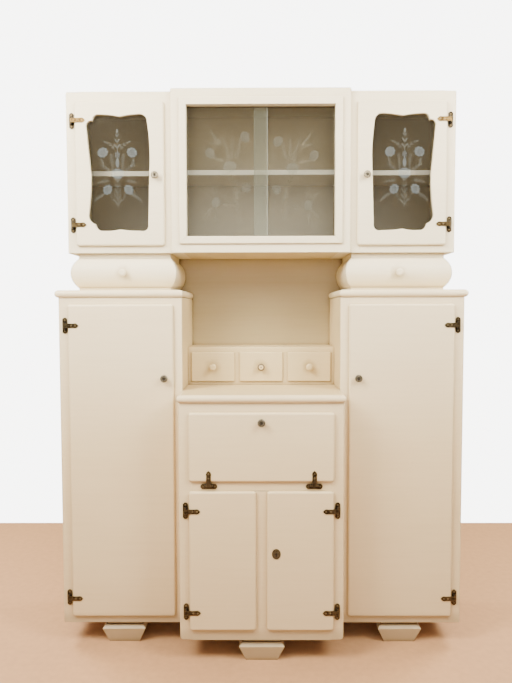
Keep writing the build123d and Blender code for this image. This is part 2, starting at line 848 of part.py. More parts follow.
def hinge_strap():
    """The pointed strap whose root is rolled around the pin."""
    half = strap_wide / 2
    upper = [(x * strap_long, z * half) for x, z in strap_shares]
    lower = [(x, -z) for x, z in reversed(upper[:-1])]
    leaf_plate = upright_prism(upper + lower, -barrel_r, leaf - barrel_r)
    root = chamfer(along(knuckle(strap_root_wide, barrel_r), Axis.Z, (Axis.Y, barrel_r)),
                   knuckle_corner)
    return leaf_plate + root - bore(strap_wide)


def hinge_places(door, s, front_y, low, high):
    """Where a door's two hinges go: the pin's place and the turn about Y."""
    x = s * (door[1] + hinge_side)
    y = front_y - hinge_forward
    turn = Rot(0, 180, 0) if s > 0 else Rot(0, 0, 0)
    return [Pos(x, y, z) * turn for z in (door[2] + low, door[3] - high)]


tall_hinges = {s: hinge_places(tall_door, s, tall_y, tall_hinge_low, tall_hinge_high)
               for s in SIDES.values()}
upper_hinges = {s: hinge_places(upper_door, s, upper_side_y, upper_hinge_low, upper_hinge_high)
                for s in SIDES.values()}
lower_hinges = {s: hinge_places(lower_door, s, centre_y, lower_hinge_low, lower_hinge_high)
                for s in SIDES.values()}
flap_axis_y = centre_y - hinge_forward
flap_axis_z = flap_door[2] - hinge_side
flap_hinges = [Pos(s * flap_hinge_x, flap_axis_y, flap_axis_z) * Rot(0, -90, 0)
               for s in SIDES.values()]
door_hinges = [place for group in (tall_hinges, upper_hinges, lower_hinges)
               for places in group.values() for place in places]


# Locks, made on the door's front plane y = 0 with the bolt towards +X


def keyhole(front_y):
    """The round and slotted hole for the key, cut into the face at front_y."""
    rear_y = front_y + keyhole_deep
    with BuildSketch(Plane((0, rear_y, 0), x_dir=(1, 0, 0), z_dir=(0, -1, 0))) as outline:
        RegularPolygon(keyhole_r, keyhole_sides)
        with Locations((0, -keyhole_drop / 2)):
            Rectangle(keyhole_slot, keyhole_drop)
    return extrude(outline.sketch, keyhole_deep)


def lock_knob():
    """A turned metal knob with the keyhole in its face."""
    under = lock_knob_long - lock_head
    knob = turned((lock_neck_r, 0), (lock_neck_r, under), (lock_knob_r, under + lock_under),
                  (lock_knob_r, lock_knob_long - lock_knob_crown), (lock_top_r, lock_knob_long))
    return knob - keyhole(-lock_knob_long)


def escutcheon():
    """An oval plate with a keyhole."""
    half_wide, half_high = escutcheon_wide / 2, escutcheon_high / 2
    step = 2 * pi / turned_sides
    oval = [(half_wide * cos(n * step), half_high * sin(n * step)) for n in range(turned_sides)]
    return upright_prism(oval, -escutcheon_thick, 0) - keyhole(-escutcheon_thick)


case_y0 = lip + rebate
bolt_y0 = lip + board + bolt_clear
bolt_y1 = bolt_y0 + bolt_thick
case_y1 = bolt_y1 + lock_case_wall


def lock_case():
    """The case on the door's inner face, with the bolt's channel open at its edge."""
    half = lock_case_high / 2
    body = slab(-lock_case_behind, lock_case_edge, case_y0, case_y1, -half, half)
    high = bolt_high / 2 + bolt_clear
    rear = lock_case_edge - bolt_long - 2 * bolt_clear
    channel = slab(rear, lock_case_edge, bolt_y0 - bolt_clear, bolt_y1, -high, high)
    return body - channel


def lock_bolt():
    """The bolt, drawn back into its case, sliding on the case's rear wall."""
    tip = lock_case_edge - bolt_clear
    return slab(tip - bolt_long, tip, bolt_y0, bolt_y1, -bolt_high / 2, bolt_high / 2)


def lock_place(door, s, front_y, share):
    """Where a side-hung door's lock goes, at a given share of the door's height."""
    x = s * (door[0] + lip_overlap + lock_backset)
    return Pos(x, front_y - lip, door[2] + share * (door[3] - door[2]))


def towards(s):
    """The turn that points a bolt to the middle of the buffet from side s."""
    return Rot(0, 180, 0) if s > 0 else Rot(0, 0, 0)


# Flap stays

stay_behind = hinge_forward + rebate + stay_pivot_behind
stay_radius = sqrt(stay_pivot_high ** 2 + stay_behind ** 2)
post_along_closed = 2 * stay_radius * sin(radians(stay_lead / 2))
post_along_open = 2 * stay_radius * sin(radians((stay_lead + flap_opening) / 2))
stay_x = flap_half - lip_overlap - stay_from_opening


def stay_pivot():
    """Y and Z of the pivot on the flap, closed."""
    return flap_axis_y + stay_behind, flap_axis_z + stay_pivot_high


def stay_post_place():
    """Y and Z of the post: as far from the flap's pins as the pivot, further back by the lead."""
    y, z = stay_pivot()
    dy, dz = y - flap_axis_y, z - flap_axis_z
    lead = radians(stay_lead)
    return (flap_axis_y + dy * cos(lead) + dz * sin(lead),
            flap_axis_z + dz * cos(lead) - dy * sin(lead))


def stay_bar(s):
    """The slotted bar of one side, lying through its pivot and its post."""
    y0, z0 = stay_pivot()
    y1, z1 = stay_post_place()
    slope = degrees(atan2(z1 - z0, y1 - y0))
    half = stay_thick / 2
    end = stay_wide / 2
    bar = slab(-half, half, -end, post_along_open + stay_end_spare + end, -end, end)
    bar = chamfer(bar.edges().filter_by(Axis.X), stay_corner)
    bar -= slab(-half, half, post_along_closed - stay_slot / 2, post_along_open + stay_slot / 2,
                -stay_slot / 2, stay_slot / 2)
    bar -= Rot(0, 90, 0) * bore(stay_thick)
    return Pos(s * stay_x, y0, z0) * Rot(slope, 0, 0) * bar


def hexagon(x0, x1, y, z, radius):
    """A six-sided nut or spacer along X."""
    return Pos(min(x0, x1), y, z) * extrude(Plane.YZ * RegularPolygon(radius, 6), abs(x1 - x0))


def stay_post(s):
    """A post from a spacer on the cupboard side through the bar's slot, with a nut."""
    y, z = stay_post_place()
    wall_x = niche_half - board
    bar_out = stay_x + stay_thick / 2 + stay_side_gap
    bar_in = stay_x - stay_thick / 2 - stay_side_gap
    pin = Pos(s * (bar_out + bar_in) / 2, y, z) * Rot(0, 90, 0) * Cylinder(stay_post_r,
                                                                         bar_out - bar_in)
    spacer = hexagon(s * bar_out, s * wall_x, y, z, stay_shoulder_r)
    return pin + spacer + hexagon(s * (bar_in - stay_head), s * bar_in, y, z, stay_head_r)


def stay_lug(s):
    """The angle bracket on the flap's inner face, with the pin that carries the bar."""
    y, z = stay_pivot()
    face_y = centre_y + rebate
    ear_out = stay_x - stay_thick / 2
    ear_in = ear_out - leaf
    half = lug_foot_wide / 2
    foot = slab(s * ear_in, s * (ear_in - lug_foot_long), face_y, face_y + leaf, z - half, z + half)
    ear = slab(s * ear_in, s * ear_out, face_y, y + half, z - half, z + half)
    ear = chamfer(along(ear, Axis.X, (Axis.Y, y + half)), lug_corner)
    tip = stay_x + stay_thick / 2 + stay_side_gap
    pin = Pos(s * (ear_out + tip) / 2, y, z) * Rot(0, 90, 0) * Cylinder(pin_r, tip - ear_out)
    head = hexagon(s * tip, s * (tip + stay_pin_head), y, z, stay_pin_head_r)
    return foot + ear + pin + head


# Write every node

save("feet", feet())
for node, solids in tall_carcase().items():
    save(node, solids)
save("tall_front_frames", mirrored_pair(face_frame(
    niche_half, tall_half, tall_door, tall_y, base_z, tall_ceiling, 0)))
for node, solids in centre_carcase().items():
    save(node, solids)
save("worktop", [worktop()])
save("niche_back", [niche_back()])
save("small_drawer_case", small_drawer_case())
for name, place in (("left", -1), ("middle", 0), ("right", 1)):
    save(f"{name}_small_drawer", small_drawer(place))

bulged = bulge_body()
save("bulge_cases", mirrored_pair(bulge_case(bulged)))
right_bulge_drawer = bulge_drawer(bulged)
save("right_bulged_drawer", right_bulge_drawer)
save("left_bulged_drawer", [mirror(solid, about=Plane.YZ) for solid in right_bulge_drawer])

for node, solids in upper_carcase().items():
    save(node, solids)
save("upper_front_frames", mirrored_pair(face_frame(
    upper_centre_half, upper_side_half, upper_door, upper_side_y, upper_z, upper_side_top_z,
    top_corner_round)))
save("display_front", display_front())
save("display_moulding", display_moulding())
save("glass_tracks", glass_tracks())

save("hinge_plates", [place * hinge_plate(flap_plate_low) for place in flap_hinges]
     + [place * hinge_plate() for place in door_hinges])
save("stay_posts", [stay_post(s) for s in SIDES.values()])

right_door, right_pane = upper_door_pieces()
left_door = [mirror(solid, about=Plane.YZ) for solid in right_door]
left_pane = [mirror(solid, about=Plane.YZ) for solid in right_pane]
upper_doors = {"left": (left_door, left_pane), "right": (right_door, right_pane)}

for side, s in SIDES.items():
    save(f"{side}_sliding_glass", [sliding_pane(s)])
    save(f"{side}_upper_door", upper_doors[side][0])
    save(f"{side}_upper_glass", upper_doors[side][1])
    upper_lock = lock_place(upper_door, s, upper_side_y, upper_lock_share)
    save(f"{side}_upper_fittings", [place * hinge_strap() for place in upper_hinges[s]]
         + [upper_lock * lock_knob(), upper_lock * towards(s) * lock_case()])
    save(f"{side}_upper_bolt", [upper_lock * towards(s) * lock_bolt()])

    x0, x1 = sorted((s * tall_door[0], s * tall_door[1]))
    save(f"{side}_tall_door", [lipped(x0, x1, tall_door[2], tall_door[3], tall_y, lip, rebate,
                                      lip_overlap, rebate_gap, lip_edge_round, lip_corner_round)])
    tall_lock = lock_place(tall_door, s, tall_y, tall_lock_share)
    save(f"{side}_tall_fittings", [place * hinge_strap() for place in tall_hinges[s]]
         + [tall_lock * lock_knob(), tall_lock * towards(s) * lock_case()])
    save(f"{side}_tall_bolt", [tall_lock * towards(s) * lock_bolt()])

    x0, x1 = sorted((s * lower_door[0], s * lower_door[1]))
    save(f"{side}_lower_door", [lipped(x0, x1, lower_door[2], lower_door[3], centre_y, lip,
                                       rebate, lip_overlap, rebate_gap, lip_edge_round,
                                       lip_corner_round)])
    fittings = [place * hinge_strap() for place in lower_hinges[s]]
    if side == "right":
        lower_lock = lock_place(lower_door, s, centre_y, lower_lock_share)
        fittings += [lower_lock * escutcheon(), lower_lock * towards(s) * lock_case()]
        save("right_lower_bolt", [lower_lock * towards(s) * lock_bolt()])
    save(f"{side}_lower_fittings", fittings)
    save(f"{side}_flap_stay", [stay_bar(s)])

save("flap", [lipped(*flap_door, centre_y, lip, rebate, lip_overlap, rebate_gap,
                     lip_edge_round, lip_corner_round)])
flap_lock = Pos(0, centre_y - lip, flap_door[3] - lip_overlap - lock_backset)
upwards = Rot(0, -90, 0)
save("flap_fittings", [place * hinge_strap() for place in flap_hinges]
     + [stay_lug(s) for s in SIDES.values()]
     + [flap_lock * lock_knob(), flap_lock * upwards * lock_case()])
save("flap_bolt", [flap_lock * upwards * lock_bolt()])
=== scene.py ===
"""Looks of the painted kitchen buffet: paint, glass, etched flowers, fittings, light and camera.

Lengths are metres in the row frame: X across the front, Y from the front to the wall, Z up.
"""
import json
from math import asin, atan2, cos, pi, radians, sin

import bmesh
import bpy
from mathutils import Matrix, Vector


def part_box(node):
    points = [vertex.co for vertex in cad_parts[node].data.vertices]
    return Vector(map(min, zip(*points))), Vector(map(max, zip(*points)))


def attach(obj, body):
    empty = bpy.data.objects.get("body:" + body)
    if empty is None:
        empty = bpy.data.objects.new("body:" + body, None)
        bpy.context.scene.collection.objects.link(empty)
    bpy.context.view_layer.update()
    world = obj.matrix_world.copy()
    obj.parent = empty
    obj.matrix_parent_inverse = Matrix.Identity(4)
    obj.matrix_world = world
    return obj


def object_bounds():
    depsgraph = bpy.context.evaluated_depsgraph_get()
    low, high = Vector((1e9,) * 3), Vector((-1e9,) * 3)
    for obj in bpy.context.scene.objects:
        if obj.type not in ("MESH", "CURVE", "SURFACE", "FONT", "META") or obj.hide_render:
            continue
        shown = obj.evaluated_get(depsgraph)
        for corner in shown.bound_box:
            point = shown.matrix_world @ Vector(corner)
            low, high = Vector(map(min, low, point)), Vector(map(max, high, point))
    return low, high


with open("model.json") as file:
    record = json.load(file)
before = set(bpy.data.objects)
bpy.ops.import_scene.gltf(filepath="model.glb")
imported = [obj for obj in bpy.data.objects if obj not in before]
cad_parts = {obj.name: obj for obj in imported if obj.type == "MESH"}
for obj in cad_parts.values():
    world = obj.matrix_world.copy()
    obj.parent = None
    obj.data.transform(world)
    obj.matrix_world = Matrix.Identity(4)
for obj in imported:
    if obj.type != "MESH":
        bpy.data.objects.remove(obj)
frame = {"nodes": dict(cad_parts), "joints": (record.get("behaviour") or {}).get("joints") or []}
cad_low, cad_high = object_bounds()
nodes = frame["nodes"]
MM = 0.001

# Camera, as fitted to the photograph
camera_place = (-0.0066, -2.1877, 1.2097)
camera_yaw = -0.0056
camera_pitch = 0.0506
camera_roll = -0.0021
focal_pixels = 590
image_long_side = 683
sensor_wide = 36

SIDES = {"left": -1, "right": 1}


# Small helpers for node trees


class Tree:
    """A material's node tree with short calls to add and link nodes."""

    def __init__(self, name):
        self.material = bpy.data.materials.new(name)
        self.material.use_nodes = True
        self.nodes = self.material.node_tree.nodes
        self.links = self.material.node_tree.links
        self.nodes.clear()
        self.output = self.nodes.new("ShaderNodeOutputMaterial")

    def add(self, kind, **sockets):
        """Adds a node; each named socket gets a value or is linked from another socket."""
        node = self.nodes.new(kind)
        for name, value in sockets.items():
            self.set(node, name.replace("_", " "), value)
        return node

    def set(self, node, socket, value):
        """Sets one input of a node to a value or a link."""
        target = node.inputs[socket]
        if isinstance(value, bpy.types.NodeSocket):
            self.links.new(value, target)
        else:
            target.default_value = value

    def place(self):
        """The position in the row frame, which moves with the piece."""
        return self.nodes.new("ShaderNodeTexCoord").outputs["Object"]

    def axis(self, letter):
        """One coordinate of the position."""
        split = self.add("ShaderNodeSeparateXYZ", Vector=self.place())
        return split.outputs[letter]

    def math(self, operation, first, second=0.0):
        """A plain calculation on two values."""
        node = self.nodes.new("ShaderNodeMath")
        node.operation = operation
        self.set(node, 0, first)
        self.set(node, 1, second)
        return node.outputs[0]

    def between(self, value, low, high):
        """1 where a value lies between two limits, else 0."""
        above = self.math("GREATER_THAN", value, low)
        below = self.math("LESS_THAN", value, high)
        return self.math("MULTIPLY", above, below)

    def ramp(self, factor, stops):
        """A colour ramp; stops are (place, colour)."""
        node = self.nodes.new("ShaderNodeValToRGB")
        while len(node.color_ramp.elements) < len(stops):
            node.color_ramp.elements.new(1.0)
        for element, (place, colour) in zip(node.color_ramp.elements, stops):
            element.position = place
            element.color = (*colour, 1) if len(colour) == 3 else colour
        self.set(node, "Fac", factor)
        return node.outputs["Color"]

    def mix(self, factor, first, second, blend="MIX"):
        """A mix of two colours."""
        node = self.nodes.new("ShaderNodeMix")
        node.data_type = "RGBA"
        node.blend_type = blend
        self.set(node, 0, factor)
        self.set(node, 6, first if isinstance(first, bpy.types.NodeSocket) else (*first, 1))
        self.set(node, 7, second if isinstance(second, bpy.types.NodeSocket) else (*second, 1))
        return node.outputs[2]

    def noise(self, scale, detail=3.0, stretch=(1, 1, 1), roughness=0.5):
        """Noise in the row frame, stretched along the axes."""
        mapping = self.add("ShaderNodeMapping", Vector=self.place(), Scale=stretch)
        node = self.add("ShaderNodeTexNoise", Vector=mapping.outputs[0], Scale=scale,
                        Detail=detail, Roughness=roughness)
        return node.outputs[0]

    def bump(self, height, strength, distance, normal=None):
        """A bump from a height."""
        node = self.add("ShaderNodeBump", Height=height, Strength=strength, Distance=distance)
        if normal is not None:
            self.set(node, "Normal", normal)
        return node.outputs[0]

    def finish(self, shader):
        """Links the shader to the output and returns the material."""
        self.links.new(shader, self.output.inputs["Surface"])
        return self.material


# Colours, linear light; stops are by height, as shares of the overall height

# Cream paint, darker towards the bottom as painted shade
cream_shade_stops = [(0.0, (0.38, 0.295, 0.18)), (0.048, (0.47, 0.37, 0.225)),
               (0.062, (0.64, 0.51, 0.315)), (0.14, (0.68, 0.545, 0.34)),
               (0.35, (0.75, 0.605, 0.38)), (0.52, (0.81, 0.695, 0.475)),
               (0.655, (0.835, 0.730, 0.51)), (0.68, (0.84, 0.77, 0.58))]
# Inside paint, darkened as painted shade
inside_stops = [(0.0, (0.29, 0.240, 0.165)), (1.0, (0.29, 0.240, 0.165))]
# The niche's back: tan paint darkened as painted shade, darkest at mid height
niche_shade_stops = [(0.50, (0.48, 0.385, 0.210)), (0.60, (0.365, 0.288, 0.150)),
               (0.66, (0.40, 0.318, 0.180)), (0.70, (0.53, 0.455, 0.315))]
# Shelves: white paint, lighter towards the top as painted light on the display shelves' edges
shelf_light_stops = [(0.0, (0.70, 0.58, 0.39)), (0.62, (0.78, 0.70, 0.52)), (0.70, (0.95, 0.945, 0.90))]
# Painted shade on faces within the niche
niche_face_shade = (0.84, 0.79, 0.66)
# Painted shade on the upper unit's inner faces, and more in its side parts
inside_shade = (0.38, 0.345, 0.30)
side_inside_shade = (0.55, 0.55, 0.55)
dust_colour = (0.60, 0.50, 0.32)
overlap_colour = (0.60, 0.60, 0.46)
wood_light = (0.55, 0.37, 0.20)
wood_dark = (0.36, 0.22, 0.11)
worn_wood = (0.060, 0.032, 0.014)
knob_dirt_and_shade = (0.58, 0.50, 0.34)

# Painted shade in crevices, by how open a place is, the uneven coat of paint and the grain of the
# wood
crevice_shade_stops = [(0.16, (0.22, 0.19, 0.14)), (0.44, (0.72, 0.67, 0.58)),
               (0.70, (0.96, 0.95, 0.93)), (0.95, (1, 1, 1))]
crevice_shade_reach = 22 * MM
soft_edge_radius = 3.2 * MM
brush_stretch = (0.05, 1, 1)
brush_depth = 0.6 * MM
body_depth = 1.2 * MM
grain_depth = 0.4 * MM

# Where the paint is darkened as painted shade in the niche: from the worktop up to the tall
# cupboards' 27 mm top boards, and on the upper unit's underside, within the niche's width
face_margin = 0.5 * MM
below_top_board = 28 * MM
niche_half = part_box("small_drawer_case")[1].x + 2 * face_margin
niche_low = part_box("worktop")[1].z - face_margin
niche_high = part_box("tall_tops")[1].z - below_top_board
niche_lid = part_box("upper_bottoms")[0].z
# The side parts of the upper unit begin where the sliding panes end
side_from = -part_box("left_sliding_glass")[0].x

# Wear, hand dirt and painted shade around a wooden knob, by the distance from its axis. Its head,
# 13 mm long, lies within the first length behind its tip.
knob_head_within = 14 * MM
knob_waver = 1.2 * MM
knob_shade_blotch = 30 * MM
knob_shade_reach = 52 * MM
knob_shade_stops = [(0.42, (0.62, 0.62, 0.62)), (0.95, (0, 0, 0))]
worn_rim = (9.2 * MM, 14.4 * MM)
worn_middle = 3.2 * MM
worn_share = 0.92


def paint_nodes(tree, stops=cream_shade_stops):
    """Old satin oil paint: slow drift in tone, faint brush marks, painted shade low down, in
    crevices and in the niche.
    """
    height = tree.axis("Z")
    # Painted shade: the paint darkens towards the bottom
    height_shade = tree.ramp(tree.math("DIVIDE", height, cad_high.z), stops)
    drift = tree.ramp(tree.noise(3.1, 4), [(0.35, (0.97, 0.96, 0.945)), (0.65, (1, 1, 1))])
    colour = tree.mix(1.0, height_shade, drift, "MULTIPLY")
    streaks = tree.ramp(tree.noise(90, 3, brush_stretch),
                        [(0.3, (0.975, 0.968, 0.955)), (0.6, (1, 1, 1))])
    colour = tree.mix(1.0, colour, streaks, "MULTIPLY")
    if stops is not niche_shade_stops:
        underside = tree.between(height, niche_lid - 2 * face_margin, niche_lid + face_margin)
        faces = tree.math("ADD", tree.between(height, niche_low, niche_high), underside)
        faces = tree.math("MULTIPLY", faces, tree.between(tree.axis("X"), -niche_half, niche_half))
        # Painted shade: faces within the niche are darkened
        colour = tree.mix(faces, colour, tree.mix(1.0, colour, niche_face_shade, "MULTIPLY"))
    # Painted shade: places that are less open are darkened
    crevice = tree.add("ShaderNodeAmbientOcclusion", Distance=crevice_shade_reach)
    crevice.samples = 8
    colour = tree.mix(1.0, colour, tree.ramp(crevice.outputs["AO"], crevice_shade_stops), "MULTIPLY")
    brush = tree.noise(150, 2, brush_stretch)
    body = tree.noise(34, 3)
    normal = tree.bump(brush, 0.05, brush_depth, tree.bump(body, 0.05, body_depth))
    soft_edge = tree.add("ShaderNodeBevel", Radius=soft_edge_radius)
    soft_edge.samples = 4
    tree.set(soft_edge, "Normal", normal)
    return colour, soft_edge.outputs[0]


def wood_nodes(tree):
    """Bare old softwood with grain along X and Y."""
    grain = tree.noise(9, 5, (1.2, 1.2, 14), 0.6)
    fine = tree.noise(60, 3, (0.4, 0.4, 9))
    colour = tree.ramp(grain, [(0.3, wood_dark), (0.7, wood_light)])
    colour = tree.mix(0.25, colour, tree.ramp(fine, [(0.3, wood_dark), (0.7, wood_light)]))
    return colour, tree.bump(fine, 0.15, grain_depth)


def paint(name, stops=cream_shade_stops, side_shade=None, bare_from=None):
    """The paint, perhaps darkened as painted shade in the upper unit's side parts, or bare wood
    behind a plane.
    """
    tree = Tree(name)
    colour, normal = paint_nodes(tree, stops)
    if side_shade:
        # Painted shade: the upper unit's side parts are darker
        centre = tree.between(tree.axis("X"), -side_from, side_from)
        colour = tree.mix(centre, tree.mix(1.0, colour, side_shade, "MULTIPLY"), colour)
    if bare_from:
        rear = tree.math("GREATER_THAN", tree.axis("Y"), bare_from)
        colour = tree.mix(rear, colour, wood_nodes(tree)[0])
    shader = tree.add("ShaderNodeBsdfPrincipled", Base_Color=colour, Roughness=0.42, Normal=normal)
    tree.set(shader, "Coat Weight", 0.12)
    tree.set(shader, "Coat Roughness", 0.25)
    return tree.finish(shader.outputs[0])


def wood(name):
    """Bare wood as a material."""
    tree = Tree(name)
    colour, normal = wood_nodes(tree)
    shader = tree.add("ShaderNodeBsdfPrincipled", Base_Color=colour, Roughness=0.72, Normal=normal)
    return tree.finish(shader.outputs[0])


def shell(name, half_wide, low_z, high_z, front_y):
    """Cream paint, darkened as painted shade on faces within the case."""
    tree = Tree(name)
    colour, normal = paint_nodes(tree)
    # Painted shade on faces within the case
    shaded_inside = tree.mix(1.0, colour, inside_shade, "MULTIPLY")
    within = tree.between(tree.axis("X"), -half_wide, half_wide)
    within = tree.math("MULTIPLY", within, tree.between(tree.axis("Z"), low_z, high_z))
    within = tree.math("MULTIPLY", within, tree.math("GREATER_THAN", tree.axis("Y"), front_y))
    colour = tree.mix(within, colour, shaded_inside)
    shader = tree.add("ShaderNodeBsdfPrincipled", Base_Color=colour, Roughness=0.45, Normal=normal)
    return tree.finish(shader.outputs[0])


def painted_front(name, last_y, worn=False):
    """A drawer: paint in front of a plane, bare wood behind it, hand dirt and painted shade around
    its knob.

    The knob's rim may be worn bare.
    """
    low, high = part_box(name)
    tree = Tree(name + "_paint")
    behind = tree.math("GREATER_THAN", tree.axis("Y"), last_y)
    paint_colour, paint_normal = paint_nodes(tree)
    wood_colour = wood_nodes(tree)[0]
    x = tree.math("SUBTRACT", tree.axis("X"), (low.x + high.x) / 2)
    z = tree.math("SUBTRACT", tree.axis("Z"), (low.z + high.z) / 2)
    squares = tree.math("ADD", tree.math("MULTIPLY", x, x), tree.math("MULTIPLY", z, z))
    reach = tree.math("ADD", tree.math("SQRT", squares),
                      tree.math("MULTIPLY", tree.noise(300), knob_waver))
    on_knob = tree.math("LESS_THAN", tree.axis("Y"), low.y + knob_head_within)
    blotch = tree.math("MULTIPLY", tree.noise(30), knob_shade_blotch)
    knob_shade = tree.math("DIVIDE", tree.math("ADD", reach, blotch), knob_shade_reach)
    knob_shade = tree.ramp(knob_shade, knob_shade_stops)
    knob_shade = tree.math("MULTIPLY", knob_shade, tree.math("SUBTRACT", 1.0, on_knob))
    # Hand dirt and painted shade: a darker ring on the face around the knob
    knob_shaded = tree.mix(1.0, paint_colour, knob_dirt_and_shade, "MULTIPLY")
    paint_colour = tree.mix(knob_shade, paint_colour, knob_shaded)
    if worn:
        spots = tree.math("ADD", tree.between(reach, *worn_rim),
                          tree.math("LESS_THAN", reach, worn_middle))
        bare_spots = tree.math("MULTIPLY", tree.math("MULTIPLY", spots, on_knob), worn_share)
        paint_colour = tree.mix(bare_spots, paint_colour, worn_wood)
    colour = tree.mix(behind, paint_colour, wood_colour)
    shader = tree.add("ShaderNodeBsdfPrincipled", Base_Color=colour, Roughness=0.48,
                      Normal=paint_normal)
    return tree.finish(shader.outputs[0])


glass_wave = 2 * MM
# What is added to the dust where two panes overlap, as a share of it
trapped_dust = 0.30


def glass(name, dust, tint, overlap=None):
    """Thin old window glass: clear, a little dusty, and greener where two panes overlap."""
    tree = Tree(name)
    wave = tree.bump(tree.noise(5, 2), 0.03, glass_wave)
    through = tree.add("ShaderNodeBsdfTransparent", Color=(*tint, 1))
    haze = tree.add("ShaderNodeBsdfDiffuse", Color=(*dust_colour, 1))
    shine = tree.add("ShaderNodeBsdfGlossy", Color=(0.95, 0.97, 0.95, 1), Roughness=0.12,
                     Normal=wave)
    fresnel = tree.add("ShaderNodeFresnel", IOR=1.45, Normal=wave)
    dusty = tree.add("ShaderNodeMixShader")
    if overlap:
        trapped = tree.between(tree.axis("X"), *overlap)
        dust = tree.math("ADD", tree.math("MULTIPLY", trapped, trapped_dust * dust), dust)
        tree.set(haze, "Color", tree.mix(trapped, dust_colour, overlap_colour))
    tree.set(dusty, 0, dust)
    tree.set(dusty, 1, through.outputs[0])
    tree.set(dusty, 2, haze.outputs[0])
    mixed = tree.add("ShaderNodeMixShader")
    tree.set(mixed, 0, fresnel.outputs[0])
    tree.set(mixed, 1, dusty.outputs[0])
    tree.set(mixed, 2, shine.outputs[0])
    return tree.finish(mixed.outputs[0])


def etched(name, share, tint):
    """Frosted lines on the glass, partly seen through."""
    tree = Tree(name)
    speck = tree.ramp(tree.noise(420, 2), [(0.35, (0.6,) * 3), (0.65, (1.0,) * 3)])
    through = tree.add("ShaderNodeBsdfTransparent", Color=(0.95, 0.96, 0.95, 1))
    frost = tree.add("ShaderNodeBsdfDiffuse", Color=tint)
    mixed = tree.add("ShaderNodeMixShader")
    tree.set(mixed, 0, tree.math("MULTIPLY", speck, share))
    tree.set(mixed, 1, through.outputs[0])
    tree.set(mixed, 2, frost.outputs[0])
    return tree.finish(mixed.outputs[0])


strap_stops = [(0.34, (0.080, 0.058, 0.031)), (0.57, (0.080, 0.061, 0.032)),
               (0.77, (0.090, 0.061, 0.024)), (0.94, (0.19, 0.120, 0.036))]
plate_stops = [(0.34, (0.085, 0.062, 0.034)), (0.57, (0.070, 0.053, 0.030)),
               (0.94, (0.044, 0.034, 0.021))]
rubbed_highlight_brass = (0.30, 0.23, 0.12)
rub_highlight_stops = [(0.35, (0.5, 0.5, 0.5)), (0.90, (0, 0, 0))]
rub_highlight_wide = 1.5 * MM
metal_pits = 0.4 * MM
steel_stops = [(0.3, (0.06, 0.052, 0.036)), (0.7, (0.27, 0.245, 0.185))]
aged_stops = [(0.3, (0.055, 0.044, 0.028)), (0.7, (0.125, 0.105, 0.068))]
# Painted highlight on the high locks
high_lock_highlight = (1.9, 1.85, 1.75)
# Heights between which the locks lie
low_lock_span = (0.30, 0.45)
middle_lock_span = (0.76, 1.05)
high_lock_span = (1.62, 1.80)


def fittings(name, stops):
    """Brass, toned by height, with edges made bright as wear and painted highlight, and steel
    locks, told apart by height; the high locks are paler as a painted highlight, and the lower lock
    is aged.
    """
    tree = Tree(name)
    height = tree.math("DIVIDE", tree.axis("Z"), cad_high.z)
    brass = tree.ramp(height, stops)
    patina = tree.ramp(tree.noise(110, 3), [(0.42, (0.34, 0.31, 0.26)), (0.54, (1, 1, 1))])
    brass = tree.mix(1.0, brass, patina, "MULTIPLY")
    # Edges of the brass made brighter: rubbed wear and painted highlight
    edge = tree.add("ShaderNodeAmbientOcclusion", Distance=rub_highlight_wide)
    edge.inside = True
    edge.samples = 6
    brass = tree.mix(tree.ramp(edge.outputs["AO"], rub_highlight_stops), brass, rubbed_highlight_brass)
    steel = tree.ramp(tree.noise(240, 3), steel_stops)
    aged = tree.ramp(tree.noise(240, 3), aged_stops)
    z = tree.axis("Z")
    low_lock = tree.between(z, *low_lock_span)
    high_lock = tree.between(z, *high_lock_span)
    lock = tree.math("ADD", tree.between(z, *middle_lock_span), high_lock)
    # Painted highlight: the high locks are made paler
    steel = tree.mix(high_lock, steel, tree.mix(1.0, steel, high_lock_highlight, "MULTIPLY"))
    colour = tree.mix(lock, tree.mix(low_lock, brass, aged), steel)
    shader = tree.add("ShaderNodeBsdfPrincipled", Base_Color=colour, Metallic=0.8, Roughness=0.45,
                      Normal=tree.bump(tree.noise(260, 2), 0.25, metal_pits))
    return tree.finish(shader.outputs[0])


def plain(name, colour, roughness=0.5, metallic=0.0):
    """A plain material with a little unevenness."""
    tree = Tree(name)
    tone = tree.ramp(tree.noise(40, 3), [(0.3, tuple(c * 0.9 for c in colour)), (0.7, colour)])
    shader = tree.add("ShaderNodeBsdfPrincipled", Base_Color=tone, Roughness=roughness,
                      Metallic=metallic)
    return tree.finish(shader.outputs[0])


rear_margin = 0.3 * MM
cream = paint("cream_paint")
inside = paint("inside_paint", inside_stops, side_inside_shade,
               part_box("upper_backs")[1].y - rear_margin)
niche = paint("niche_paint", niche_shade_stops, bare_from=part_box("niche_back")[1].y - rear_margin)
shelf_paint_and_light = paint("shelf_paint", shelf_light_stops)
bare = wood("bare_wood")
clear = glass("clear_glass", 0.026, (0.93, 0.925, 0.90))
overlap = (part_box("right_sliding_glass")[0].x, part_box("left_sliding_glass")[1].x)
hazy = glass("display_glass", 0.044, (0.95, 0.955, 0.93), overlap)
brass = fittings("fittings_metal", strap_stops)
plate_brass = fittings("plate_metal", plate_stops)
steel = plain("dull_steel", (0.50, 0.48, 0.44), 0.35, 0.9)
# Painted shade: a dark plate in each keyhole stands for the hole's depth
dark = plain("keyhole_dark", (0.012, 0.010, 0.008), 0.8)
frosted = etched("etched_blossom", 0.062, (0.60, 0.74, 0.88, 1))
frosted_line = etched("etched_leaf", 0.060, (0.66, 0.74, 0.76, 1))
faint = etched("faint_blossom", 0.029, (0.76, 0.78, 0.74, 1))
faint_line = etched("faint_leaf", 0.044, (0.88, 0.86, 0.70, 1))
ground_edge = etched("ground_edge", 0.10, (0.82, 0.88, 0.84, 1))


